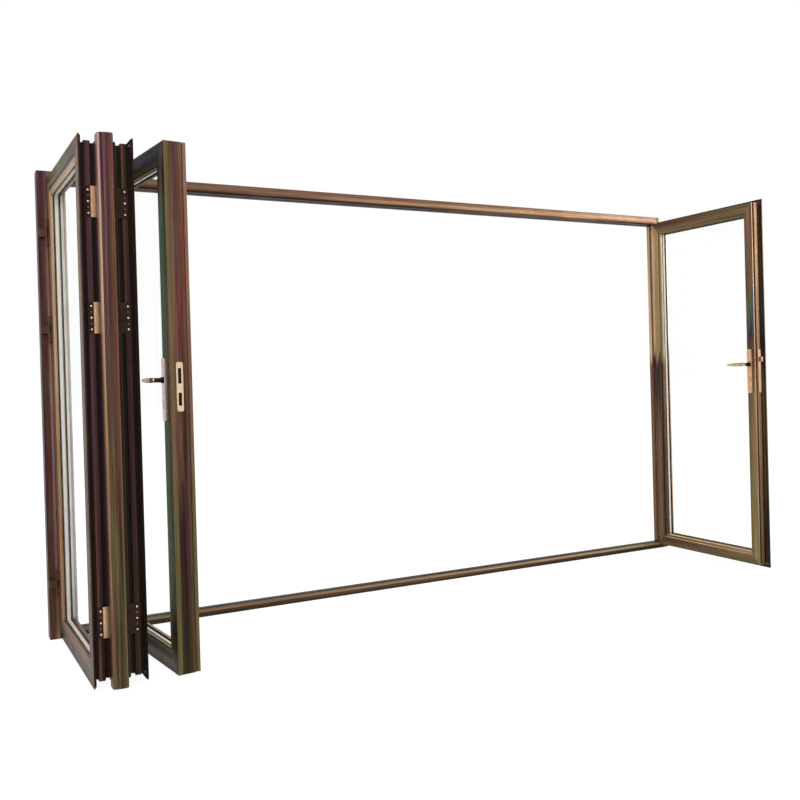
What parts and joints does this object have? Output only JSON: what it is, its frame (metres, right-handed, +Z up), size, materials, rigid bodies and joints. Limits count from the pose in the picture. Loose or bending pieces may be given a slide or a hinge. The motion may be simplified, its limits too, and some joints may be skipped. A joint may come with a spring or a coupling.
{
  "type": "bifold patio door",
  "caption": "Bifold glass patio door in an aluminium frame: leaves folded to one side under a top track, and a hinged access leaf on the other jamb, with lever handles.",
  "frame": {"origin": "middle of the underside of the sill", "axes": "+X along the track towards the access leaf, -Y towards the outside, +Z up"},
  "size_m": [3.6, 1.0333, 2.1],
  "materials": {
    "bronze_aluminium": "dark bronze anodised, satin",
    "champagne_hardware": "champagne satin",
    "clear_glass": "clear sealed units"
  },
  "bodies": {
    "frame": {"bottom_guide": "champagne_hardware", "fold_hinge_1": "champagne_hardware", "fold_hinge_2": "champagne_hardware", "fold_hinge_3": "champagne_hardware", "fold_post": "bronze_aluminium", "frame_head": "bronze_aluminium", "frame_jamb_left": "bronze_aluminium", "frame_jamb_right": "bronze_aluminium", "frame_sill": "bronze_aluminium", "jamb_hinge_left_1": "bronze_aluminium", "jamb_hinge_left_2": "bronze_aluminium", "jamb_hinge_left_3": "bronze_aluminium", "jamb_hinge_right_1_fixed": "bronze_aluminium", "jamb_hinge_right_2_fixed": "bronze_aluminium", "jamb_hinge_right_3_fixed": "bronze_aluminium", "keep_plate": "champagne_hardware", "leaf_1_bottom_rail": "bronze_aluminium", "leaf_1_glass": "clear_glass", "leaf_1_left_stile": "bronze_aluminium", "leaf_1_right_stile": "bronze_aluminium", "leaf_1_top_rail": "bronze_aluminium", "leaf_2_bottom_rail": "bronze_aluminium", "leaf_2_glass": "clear_glass", "leaf_2_left_stile": "bronze_aluminium", "leaf_2_right_stile": "bronze_aluminium", "leaf_2_top_rail": "bronze_aluminium", "leaf_3_bottom_rail": "bronze_aluminium", "leaf_3_cover_strip": "bronze_aluminium", "leaf_3_glass": "clear_glass", "leaf_3_left_stile": "bronze_aluminium", "leaf_3_outside_backplate": "champagne_hardware", "leaf_3_right_stile": "bronze_aluminium", "leaf_3_top_rail": "bronze_aluminium", "top_carrier": "champagne_hardware", "track_hinge_1": "bronze_aluminium", "track_hinge_2": "bronze_aluminium", "track_hinge_3": "bronze_aluminium"},
    "access_leaf": {"jamb_hinge_right_1_leaf": "bronze_aluminium", "jamb_hinge_right_2_leaf": "bronze_aluminium", "jamb_hinge_right_3_leaf": "bronze_aluminium", "leaf_4_bottom_rail": "bronze_aluminium", "leaf_4_glass": "clear_glass", "leaf_4_inside_backplate": "champagne_hardware", "leaf_4_left_stile": "bronze_aluminium", "leaf_4_outside_backplate": "champagne_hardware", "leaf_4_right_stile": "bronze_aluminium", "leaf_4_top_rail": "bronze_aluminium", "lock_faceplate": "champagne_hardware"},
    "leaf_3_levers": {"leaf_3_outside_lever": "champagne_hardware"},
    "leaf_4_levers": {"leaf_4_inside_lever": "champagne_hardware"}
  },
  "joints": [
    {"name": "access_leaf_hinge", "type": "hinge", "parent": "frame", "child": "access_leaf", "pos_m": [1.767, -0.065, 1.05], "axis": [0, 0, 1], "range_deg": [-90, 70]},
    {"name": "leaf_3_lever_spindle", "type": "hinge", "parent": "frame", "child": "leaf_3_levers", "pos_m": [-1.44067, -0.90534, 1.15], "axis": [-0.993, -0.1184, 0], "range_deg": [0, 40], "stiffness_Nm_per_rad": 1.5, "springref_deg": -17.19},
    {"name": "leaf_4_lever_spindle", "type": "hinge", "parent": "access_leaf", "child": "leaf_4_levers", "pos_m": [1.694, -0.88675, 1.15], "axis": [-1, 0, 0], "range_deg": [0, 40], "stiffness_Nm_per_rad": 1.5, "springref_deg": -17.19}
  ]
}
